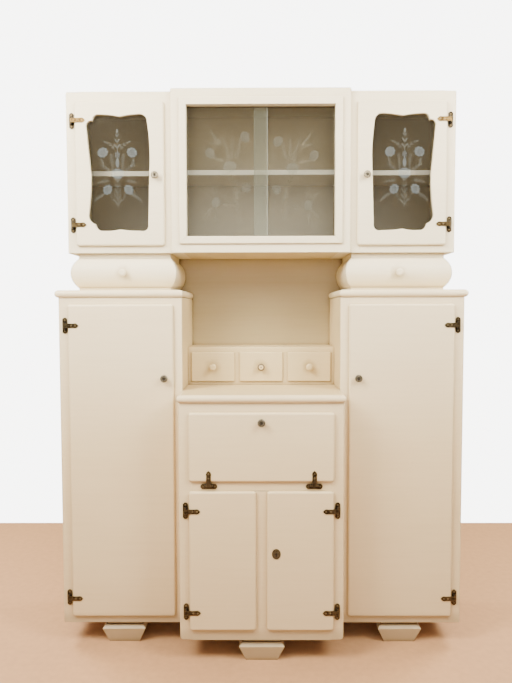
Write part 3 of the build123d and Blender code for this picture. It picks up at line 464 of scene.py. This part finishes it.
def dress(name, material):
    """Puts one material on a CAD node."""
    slots = nodes[name].data.materials
    slots.clear()
    slots.append(material)


for name in nodes:
    dress(name, cream)
    if name.endswith("_fittings"):
        dress(name, brass)
    elif name in ("hinge_plates", "stay_posts"):
        dress(name, plate_brass)
    elif name.endswith("_bolt") or name.endswith("_stay"):
        dress(name, steel)
    elif name.endswith("glass"):
        dress(name, hazy if "sliding" in name else clear)
    elif name.endswith("_shelves") or name.endswith("_shelf"):
        dress(name, shelf_paint_and_light)
    elif name == "lower_backs":
        dress(name, bare)
    elif name in ("upper_backs", "glass_tracks"):
        dress(name, inside)
    elif name == "niche_back":
        dress(name, niche)

# How far the painted shade inside keeps from the upper unit's sides and underside, from the side
# parts' tops and from the front
shell_margin = 4 * MM
shell_top_margin = 10 * MM
shell_front_margin = 17 * MM
sides_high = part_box("upper_sides")[1]
upper_shell = shell("upper_shell_paint", sides_high.x - shell_margin,
                    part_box("upper_bottoms")[0].z + shell_margin, sides_high.z - shell_top_margin,
                    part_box("upper_front_frames")[0].y + shell_front_margin)
for name in ("upper_sides", "upper_bottoms", "upper_tops"):
    dress(name, upper_shell)
# Where bare wood takes over from paint: at the drawers' boxes, to 0.1 mm. The small drawers' is
# counted from the front of their case, the bulged drawers' from their rear.
small_box_from = 7.9 * MM
bulge_box_long = 219.9 * MM
small_front_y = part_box("small_drawer_case")[0].y
for name in ("left_small_drawer", "middle_small_drawer", "right_small_drawer"):
    dress(name, painted_front(name, small_front_y + small_box_from, name.startswith("middle")))
for name in ("left_bulged_drawer", "right_bulged_drawer"):
    dress(name, painted_front(name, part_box(name)[1].y - bulge_box_long))

for node in nodes.values():
    for polygon in node.data.polygons:
        polygon.use_smooth = False


# New pieces, each riding on a body


def piece(name, mesh, material, body):
    """Makes a mesh an object that rides on a body."""
    thing = bpy.data.objects.new(name, mesh)
    bpy.context.scene.collection.objects.link(thing)
    mesh.materials.append(material)
    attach(thing, body)


def flat_shapes(outlines, y, thick):
    """One mesh of thin plates whose outlines are lists of (x, z) points, front at y."""
    mesh = bpy.data.meshes.new("plates")
    net = bmesh.new()
    for outline in outlines:
        near = [net.verts.new((x, y, z)) for x, z in outline]
        far = [net.verts.new((x, y + thick, z)) for x, z in outline]
        net.faces.new(near)
        net.faces.new(list(reversed(far)))
        for n in range(len(near)):
            net.faces.new((near[n - 1], far[n - 1], far[n], near[n]))
    bmesh.ops.recalc_face_normals(net, faces=net.faces)
    net.to_mesh(mesh)
    net.free()
    return mesh


def joined(meshes):
    """One mesh out of several."""
    net = bmesh.new()
    for mesh in meshes:
        net.from_mesh(mesh)
    mesh = bpy.data.meshes.new("joined")
    net.to_mesh(mesh)
    net.free()
    return mesh


# Etched flowers, as outlines of (x, z) points on the panes


def petal(length, width, steps=5):
    """A leaf or petal from the origin along the first axis, pointed at both ends."""
    side = [(length * n / steps, width / 2 * sin(pi * n / steps) ** 0.7) for n in range(1, steps)]
    return [(0, 0)] + side + [(length, 0)] + [(a, -b) for a, b in reversed(side)]


def laid(points, place, angle, wide=1.0, high=1.0):
    """Points turned by an angle in radians, then stretched, then moved to a place."""
    x, z = place
    return [(x + wide * (a * cos(angle) - b * sin(angle)),
             z + high * (a * sin(angle) + b * cos(angle))) for a, b in points]


def leaned(points, place, tilt):
    """Points turned about a place by an angle in degrees."""
    turn = radians(tilt)
    x, z = place
    return [(x + (a - x) * cos(turn) - (b - z) * sin(turn),
             z + (a - x) * sin(turn) + (b - z) * cos(turn)) for a, b in points]


def blossom(place, wide, high, tilt, petals=9):
    """An oval blossom: an outer and an inner ring of petals around a small heart."""
    rings = ((petals, 0.34, 0.66, 0.50), (petals - 3, 0.10, 0.30, 0.26))
    shapes = []
    for count, start, length, width in rings:
        for n in range(count):
            angle = 2 * pi * (n + start) / count
            near = (place[0] + wide / 2 * start * cos(angle),
                    place[1] + high / 2 * start * sin(angle))
            shapes.append(laid(petal(length, width), near, angle, wide / 2, high / 2))
    heart = [(0.09 * cos(pi * n / 4), 0.09 * sin(pi * n / 4)) for n in range(8)]
    shapes.append(laid(heart, place, 0, wide / 2, high / 2))
    return [leaned(shape, place, tilt) for shape in shapes]


def bow(start, end, sag, count=8):
    """Points of a curved line between two ends, bent sideways by a share of its length."""
    dx, dz = end[0] - start[0], end[1] - start[1]
    points = []
    for n in range(count + 1):
        share = n / count
        bend = 4 * sag * share * (1 - share)
        points.append((start[0] + dx * share - dz * bend, start[1] + dz * share + dx * bend))
    return points


def stroke(points, width):
    """A tapering line along a few points."""
    left, right = [], []
    for n, (x, z) in enumerate(points):
        ahead = points[min(n + 1, len(points) - 1)]
        back = points[max(n - 1, 0)]
        heading = atan2(ahead[1] - back[1], ahead[0] - back[0])
        half = width / 2 * (1 - 0.7 * n / (len(points) - 1))
        left.append((x - half * sin(heading), z + half * cos(heading)))
        right.append((x + half * sin(heading), z - half * cos(heading)))
    return left + right[::-1]


leaf_wide = 2.3 * MM
stem_wide = 1.4 * MM


def frond(start, end, sag, pairs, length, lean, bud=0.0, wide=leaf_wide):
    """A stem with pairs of slim leaves that shorten towards its tip, and perhaps a bud."""
    line = bow(start, end, sag, 2 * pairs)
    shapes = [stroke(line, stem_wide)]
    for n in range(1, pairs + 1):
        x, z = line[2 * n - 1]
        heading = atan2(line[2 * n][1] - z, line[2 * n][0] - x)
        size = length * (1 - 0.5 * (n - 1) / pairs)
        for side in (-1, 1):
            shapes.append(laid(petal(size, wide), (x, z), heading + side * radians(lean)))
    if bud:
        heading = atan2(end[1] - line[-2][1], end[0] - line[-2][0])
        shapes.append(laid(petal(bud, bud * 0.5), end, heading))
    return shapes


def ribs(start, end, sag, count, length, lean):
    """A row of slim strokes, all on one side of a curved line, like a half feather."""
    line = bow(start, end, sag, count)
    shapes = []
    for n, (x, z) in enumerate(line[:-1]):
        heading = atan2(line[n + 1][1] - z, line[n + 1][0] - x)
        size = length * (1 - 0.35 * abs(2 * n / count - 1))
        shapes.append(laid(petal(size, leaf_wide), (x, z), heading + radians(lean)))
    return shapes


# Middles of the blossoms on the two sliding panes, (x, z): top, outer, middle, inner, low
centre_blossoms = {
    -1: ((-0.057, 1.842), (-0.185, 1.785), (-0.113, 1.736), (-0.053, 1.661), (-0.164, 1.607)),
    1: ((0.063, 1.828), (0.194, 1.777), (0.116, 1.732), (0.058, 1.656), (0.173, 1.597)),
}
door_pane_x = 0.5195


def side_pane_flowers(s):
    """The spray on an upper door's pane: fan in the middle, four blossoms, top and lower spray."""
    x = s * door_pane_x

    def at(dx, z):
        """A point beside the pane's middle line."""
        return x + dx, z

    flowers = []
    for dx, z, tilt in ((-0.053, 1.786, 35), (0.053, 1.786, -35)):
        flowers += blossom(at(dx, z), 0.042, 0.038, tilt)
    for dx, z, tilt in ((-0.037, 1.653, 55), (0.040, 1.653, -55)):
        flowers += blossom(at(dx, z), 0.041, 0.035, tilt)
    flowers += blossom((x, 1.710), 0.050, 0.040, 0, 11) + blossom((x, 1.777), 0.020, 0.026, 0, 6)
    flowers.append(laid(petal(0.036, 0.014), (x, 1.730), pi / 2))
    leaves = frond((x, 1.790), (x, 1.853), 0, 3, 0.021, 34, 0.018, 4.2 * MM)
    leaves += frond((x, 1.585), (x, 1.690), 0, 5, 0.030, 30, 0, 3 * MM)
    for t in (-1, 1):
        leaves += frond(at(t * 0.010, 1.795), at(t * 0.040, 1.822), t * 0.12, 3, 0.012, 40, 0.010)
        leaves += ribs(at(t * 0.016, 1.716), at(t * 0.018, 1.785), t * 0.10, 8, 0.020, -t * 62)
        leaves += frond(at(t * 0.028, 1.716), at(t * 0.064, 1.742), t * 0.10, 4, 0.011, 40)
        leaves += ribs(at(t * 0.012, 1.612), at(t * 0.024, 1.668), -t * 0.10, 5, 0.020, -t * 34)
        leaves += frond(at(t * 0.030, 1.684), at(t * 0.072, 1.676), t * 0.08, 4, 0.012, 40)
        leaves += frond(at(t * 0.048, 1.636), at(t * 0.084, 1.612), t * 0.10, 4, 0.014, 38)
        leaves += frond(at(t * 0.058, 1.765), at(t * 0.052, 1.738), 0.05, 3, 0.010, 40)
    return flowers, leaves


def centre_pane_flowers(s):
    """The looser spray on a sliding pane: a large blossom, four small ones and slim leaves."""
    top, outer, middle, inner, low = centre_blossoms[s]

    def by(place, dx, dz):
        """A point beside a blossom, with dx away from the middle of the display."""
        return place[0] + s * dx, place[1] + dz

    flowers = blossom(top, 0.044, 0.037, s * 60) + blossom(outer, 0.044, 0.036, s * 65)
    flowers += blossom(middle, 0.052, 0.042, 0, 11) + blossom(inner, 0.042, 0.036, -s * 50)
    flowers += blossom(low, 0.044, 0.032, 80)
    leaves = frond(by(middle, 0.004, 0.02), by(middle, 0.030, 0.110), s * 0.06, 9, 0.013, 42)
    leaves += frond(by(middle, -0.006, 0.022), by(middle, -0.010, 0.105), 0, 6, 0.017, 36)
    leaves += frond(by(middle, -0.018, 0.030), by(top, 0.022, -0.006), s * 0.12, 6, 0.012, 40)
    leaves += frond(by(middle, 0.022, 0.022), by(outer, -0.016, -0.016), -s * 0.10, 5, 0.011, 40)
    leaves += frond(by(middle, 0.030, 0.082), by(middle, 0.068, 0.132), -s * 0.08, 6, 0.013, 34)
    leaves += frond(by(middle, 0.032, 0.076), by(middle, 0.074, 0.086), s * 0.05, 5, 0.012, 38)
    fork = by(middle, -0.026, -0.128)
    leaves += frond(fork, by(middle, -0.002, -0.030), s * 0.07, 6, 0.022, 34)
    leaves += frond(fork, by(middle, -0.036, -0.060), -s * 0.07, 4, 0.018, 34)
    for lean in (s * 55, -s * 55):
        leaves += ribs(by(middle, -0.028, -0.200), by(middle, -0.024, -0.128), s * 0.08, 7, 0.020,
                       lean)
    leaves += frond(by(low, 0.010, 0.022), by(low, 0.052, 0.050), s * 0.08, 5, 0.014, 36)
    leaves += frond(by(low, 0, 0.026), by(low, 0.002, 0.062), 0.04, 4, 0.012, 36)
    leaves += frond(by(low, -0.020, -0.004), by(low, -0.066, -0.008), s * 0.08, 5, 0.014, 34)
    leaves += frond(by(low, 0.014, -0.022), by(low, 0.044, -0.060), s * 0.10, 5, 0.014, 36)
    leaves += frond(by(low, 0, -0.028), by(low, 0.002, -0.070), 0.04, 4, 0.010, 36)
    return flowers, leaves


etch_thick = 0.05 * MM
ground_edge_wide = 2.4 * MM
for side, s in SIDES.items():
    door_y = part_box(f"{side}_upper_glass")[0].y - 2 * etch_thick
    pane_low, pane_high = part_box(f"{side}_sliding_glass")
    pane_y = pane_low.y - 2 * etch_thick
    flowers, leaves = side_pane_flowers(s)
    piece(f"{side}_door_pane_blossoms", flat_shapes(flowers, door_y, etch_thick), frosted,
          f"{side}_upper_door")
    piece(f"{side}_door_pane_leaves", flat_shapes(leaves, door_y, etch_thick), frosted_line,
          f"{side}_upper_door")
    flowers, leaves = centre_pane_flowers(s)
    piece(f"{side}_display_pane_blossoms", flat_shapes(flowers, pane_y, etch_thick), faint,
          f"{side}_sliding_glass")
    piece(f"{side}_display_pane_leaves", flat_shapes(leaves, pane_y, etch_thick), faint_line,
          f"{side}_sliding_glass")
    end_x = pane_high.x if s < 0 else pane_low.x
    edge_x = end_x + s * ground_edge_wide
    edge = [(end_x, pane_low.z), (end_x, pane_high.z), (edge_x, pane_high.z), (edge_x, pane_low.z)]
    piece(f"{side}_pane_ground_edge", flat_shapes([edge], pane_y, etch_thick), ground_edge,
          f"{side}_sliding_glass")


# Screws and keyholes

screw_r = 3.3 * MM
screw_high = 1.1 * MM
slot_wide = 0.8 * MM
screw_top_share = 0.72
screw_facets = 8


def screw_mesh(place, facing, slot_turn):
    """A domed, slotted screw head with its underside at a place, facing along a vector."""
    turn = facing.to_track_quat("Z", "Y").to_matrix().to_4x4()
    to_world = Matrix.Translation(place) @ turn @ Matrix.Rotation(slot_turn, 4, "Z")
    net = bmesh.new()
    start = asin(slot_wide / 2 / screw_r)
    for half in (-1, 1):
        ring_low, ring_high = [], []
        for n in range(screw_facets + 1):
            angle = start + (pi - 2 * start) * n / screw_facets
            x, y = screw_r * cos(angle), screw_r * sin(angle) * half
            top_y = max(slot_wide / 2, abs(y) * screw_top_share) * half
            ring_low.append(net.verts.new((x, y, 0)))
            ring_high.append(net.verts.new((x * screw_top_share, top_y, screw_high)))
        net.faces.new(ring_high)
        net.faces.new(ring_low[::-1])
        for n in range(screw_facets + 1):
            m = (n + 1) % (screw_facets + 1)
            net.faces.new((ring_low[n], ring_low[m], ring_high[m], ring_high[n]))
    bmesh.ops.recalc_face_normals(net, faces=net.faces)
    mesh = bpy.data.meshes.new("screw")
    net.to_mesh(mesh)
    net.free()
    mesh.transform(to_world)
    return mesh


joints = {joint["name"]: joint for joint in frame["joints"]}
plate_screws = (-20 * MM, 20 * MM)
flap_plate_low = 5 * MM
strap_screws = (25.5 * MM, 41 * MM)
leaf = 2.2 * MM
frame_depth = 11 * MM
door_face = -3.2 * MM
hinge_levels = {"upper": (1.525, 1.898), "tall": (0.174, 1.161), "lower": (0.181, 0.533)}
flap_hinge_x = 0.179


def hinge_list():
    """Each hinge as (body of the strap, pin place, direction of the strap)."""
    found = []
    for side, s in SIDES.items():
        for kind, levels in hinge_levels.items():
            x, y, _ = joints[f"{side}_{kind}_door_hinge"]["pos_m"]
            for z in levels:
                found.append((f"{side}_{kind}_door", Vector((x, y, z)), Vector((-s, 0, 0))))
    _, y, z = joints["flap_hinge"]["pos_m"]
    for s in SIDES.values():
        found.append(("flap", Vector((s * flap_hinge_x, y, z)), Vector((0, 0, 1))))
    return found


# Two screws in each plate and two in each strap, with their slots at differing angles
screws = {}
forward = Vector((0, -1, 0))
for number, (body, pin, towards) in enumerate(hinge_list()):
    across = Vector((0, 1, 0)).cross(towards)
    for offset in plate_screws:
        place = pin + across * offset
        place.y = pin.y + frame_depth - leaf
        if body == "flap":
            place.z -= flap_plate_low
        slot_turn = 0.5 + number + offset * 90
        screws.setdefault("case", []).append(screw_mesh(place, forward, slot_turn))
    for offset in strap_screws:
        place = pin + towards * offset
        place.y = pin.y + door_face
        slot_turn = 1.1 + 2 * number + offset * 70
        screws.setdefault(body, []).append(screw_mesh(place, forward, slot_turn))
for body, meshes in screws.items():
    piece(f"screws_{body}", joined(meshes), brass, body)

# Locks with a round keyhole knob: the body, its fittings and the keyhole's place (x, z)
round_locks = (("left_upper_door", "left_upper_fittings", (-0.381, 1.700)),
               ("right_upper_door", "right_upper_fittings", (0.381, 1.700)),
               ("left_tall_door", "left_tall_fittings", (-0.343, 0.974)),
               ("right_tall_door", "right_tall_fittings", (0.343, 0.974)),
               ("flap", "flap_fittings", (0, 0.838)))
# The lower doors' lock has an oval plate, within this reach of its keyhole
plate_lock_place = (0.050, 0.387)
plate_half_wide = 12 * MM
plate_half_high = 16 * MM

# Outline of a keyhole and radii of the painted shade ring around it in millimetres; some keyholes
# are larger
keyhole = [(-1.0, -6.4), (1.0, -6.4), (1.0, -2.3), (2.4, -1.0), (2.4, 1.0), (1.0, 2.4), (-1.0, 2.4),
           (-2.4, 1.0), (-2.4, -1.0), (-1.0, -2.3)]
collar_r = 5.4
collar_cut = 2.9
collar_sides = 12
upper_keyhole_scale = 1.4 * MM
plate_keyhole_scale = 1.5
keyhole_sunk = 0.5 * MM
keyhole_thick = 0.3 * MM
plate_keyhole_out = 0.12 * MM
plate_keyhole_thick = 0.1 * MM
ring_shade_out = 0.08 * MM
ring_shade_thick = 0.06 * MM


def collar(x, z):
    """Painted shade around a keyhole: a dark ring of small plates that is open at its bottom."""
    shapes = []
    for n in range(collar_sides):
        if n != 3 * collar_sides // 4:
            angles = [2 * pi * (n + k - 0.5) / collar_sides for k in (0, 1)]
            shapes.append([(x + r * MM * cos(a), z + r * MM * sin(a)) for r, a in
                           ((collar_cut, angles[0]), (collar_r, angles[0]), (collar_r, angles[1]),
                            (collar_cut, angles[1]))])
    return shapes


# Painted shade: a dark ring around each round lock's keyhole
ring_shade = plain("keyhole_ring_shade", (0.022, 0.017, 0.011), 0.7)
for body, fitting, (x, z) in round_locks:
    front_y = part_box(fitting)[0].y
    scale = upper_keyhole_scale if "upper" in body else MM
    plug = [(x + dx * scale, z + dz * scale) for dx, dz in keyhole]
    piece(f"keyhole_{body}", flat_shapes([plug], front_y + keyhole_sunk, keyhole_thick), dark,
          body)
    piece(f"keyhole_ring_shade_{body}", flat_shapes(collar(x, z), front_y - ring_shade_out, ring_shade_thick),
          ring_shade, body)
x, z = plate_lock_place
plate_front = min(corner.co.y for corner in nodes["right_lower_fittings"].data.vertices
                  if abs(corner.co.x - x) < plate_half_wide
                  and abs(corner.co.z - z) < plate_half_high)
plug = [(x + dx * MM * plate_keyhole_scale, z + dz * MM * plate_keyhole_scale)
        for dx, dz in keyhole]
piece("keyhole_right_lower_door",
      flat_shapes([plug], plate_front - plate_keyhole_out, plate_keyhole_thick), dark,
      "right_lower_door")


# Floor, backdrop and light


def staged(name, points, faces, material):
    """A mesh that isn't part of the object."""
    mesh = bpy.data.meshes.new(name)
    mesh.from_pydata(points, [], faces)
    mesh.materials.append(material)
    thing = bpy.data.objects.new(name, mesh)
    bpy.context.scene.collection.objects.link(thing)
    return thing


def plane(name, size, place, turn, material):
    """A flat square around a place."""
    half = size / 2
    corners = [(-half, -half, 0), (half, -half, 0), (half, half, 0), (-half, half, 0)]
    thing = staged(name, corners, [(0, 1, 2, 3)], material)
    thing.location = place
    thing.rotation_euler = turn
    return thing


def surround(name, half, levels, material):
    """A closed square room around the object, with its bottom and top at two levels."""
    corners = [(x, y, z) for z in levels
               for x, y in ((-half, -half), (half, -half), (half, half), (-half, half))]
    walls = [(n, (n + 1) % 4, (n + 1) % 4 + 4, n + 4) for n in range(4)]
    return staged(name, corners, walls + [(3, 2, 1, 0), (4, 5, 6, 7)], material)


def glow(name, strength, colour, radial=False):
    """A plain light-giving surface, fading from its middle if radial."""
    tree = Tree(name)
    level = strength
    if radial:
        fade = tree.add("ShaderNodeTexGradient", Vector=tree.place())
        fade.gradient_type = "SPHERICAL"
        level = tree.math("MULTIPLY", fade.outputs[1], strength)
    shader = tree.add("ShaderNodeEmission", Color=(*colour, 1), Strength=level)
    return tree.finish(shader.outputs[0])


# Seen from the camera, the floor ends where the photograph's does. The camera alone sees the
# backdrop. It doesn't see the card, which gives light and a soft reflection from in front.
floor_paint = plain("floor_pale", (0.50, 0.280, 0.140), 0.6)
floor_end = 1.14
floor_size = 9
backdrop_half = 9
backdrop_levels = (-0.01, 12)
plane("floor", floor_size, (0, floor_end - floor_size / 2, 0), (0, 0, 0), floor_paint)
backdrop = surround("backdrop", backdrop_half, backdrop_levels,
                    glow("backdrop_glow", 7.0, (1, 0.99, 0.97)))
for ray in ("diffuse", "glossy", "transmission", "shadow"):
    setattr(backdrop, f"visible_{ray}", False)
card = plane("window_card", 2, (0, -3.4, 1.75), (radians(90), 0, 0),
             glow("card_glow", 3.5, (1, 0.96, 0.84), True))
card.scale = (1.7, 0.95, 1)
card.visible_camera = False


def area(name, power, size, place, aim, colour):
    """A soft rectangular light."""
    light = bpy.data.lights.new(name, "AREA")
    light.shape = "RECTANGLE"
    light.size, light.size_y = size
    light.energy = power
    light.color = colour
    thing = bpy.data.objects.new(name, light)
    bpy.context.scene.collection.objects.link(thing)
    thing.location = place
    direction = Vector(aim) - Vector(place)
    thing.rotation_mode = "QUATERNION"
    thing.rotation_quaternion = direction.to_track_quat("-Z", "Y")
    return thing


# Each light: name, watts, width and height, place, the point it faces, colour
warm = (1.0, 0.91, 0.75)
daylight = (1.0, 0.93, 0.80)
area("side_left", 124, (0.9, 1.1), (-1.7, -1.35, 2.55), (-0.25, 0, 2.05), daylight)
area("side_right", 105, (0.9, 1.1), (1.7, -1.35, 2.55), (0.25, 0, 2.05), daylight)
area("high_left", 36, (0.8, 0.8), (-1.2, -1.1, 3.1), (-0.3, 0, 2.3), warm)
area("high_right", 20, (0.8, 0.8), (1.2, -1.1, 3.1), (0.3, 0, 2.3), warm)
area("front_left", 30, (1.1, 0.9), (-1.4, -2.0, 3.2), (0, 0, 1.7), warm)
front = area("front_upper", 27, (1.6, 1.2), (0, -1.5, 2.1), (0, 0, 1.55), (1.0, 0.94, 0.82))
front.visible_glossy = False
for side, s in SIDES.items():
    area(f"floor_wash_{side}", 80, (0.8, 0.8), (s * 1.8, 0.7, 1.9), (s * 1.0, 1.1, 0), warm)
    wash = area(f"front_wash_{side}", 70, (1.5, 1.5), (s * 2.0, -4.2, 2.6), (s * 2.0, -4.2, 0),
                warm)
    wash.visible_glossy = False

world = bpy.data.worlds.new("studio")
world.use_nodes = True
background = world.node_tree.nodes["Background"]
background.inputs["Color"].default_value = (*daylight, 1)
background.inputs["Strength"].default_value = 0.20
bpy.context.scene.world = world


# Camera


def add_camera():
    """The camera, turned by yaw, then pitch, then roll."""
    forward = Vector((sin(camera_yaw), cos(camera_yaw), 0))
    right = Vector((cos(camera_yaw), -sin(camera_yaw), 0))
    up = Vector((0, 0, 1))
    sight = forward * cos(camera_pitch) - up * sin(camera_pitch)
    rise = up * cos(camera_pitch) + forward * sin(camera_pitch)
    across = right * cos(camera_roll) + rise * sin(camera_roll)
    top = rise * cos(camera_roll) - right * sin(camera_roll)
    data = bpy.data.cameras.new("camera")
    data.sensor_width = sensor_wide
    data.lens = focal_pixels / image_long_side * sensor_wide
    thing = bpy.data.objects.new("camera", data)
    bpy.context.scene.collection.objects.link(thing)
    turn = Matrix((across, top, -sight)).transposed().to_4x4()
    thing.matrix_world = Matrix.Translation(camera_place) @ turn
    bpy.context.scene.camera = thing


add_camera()
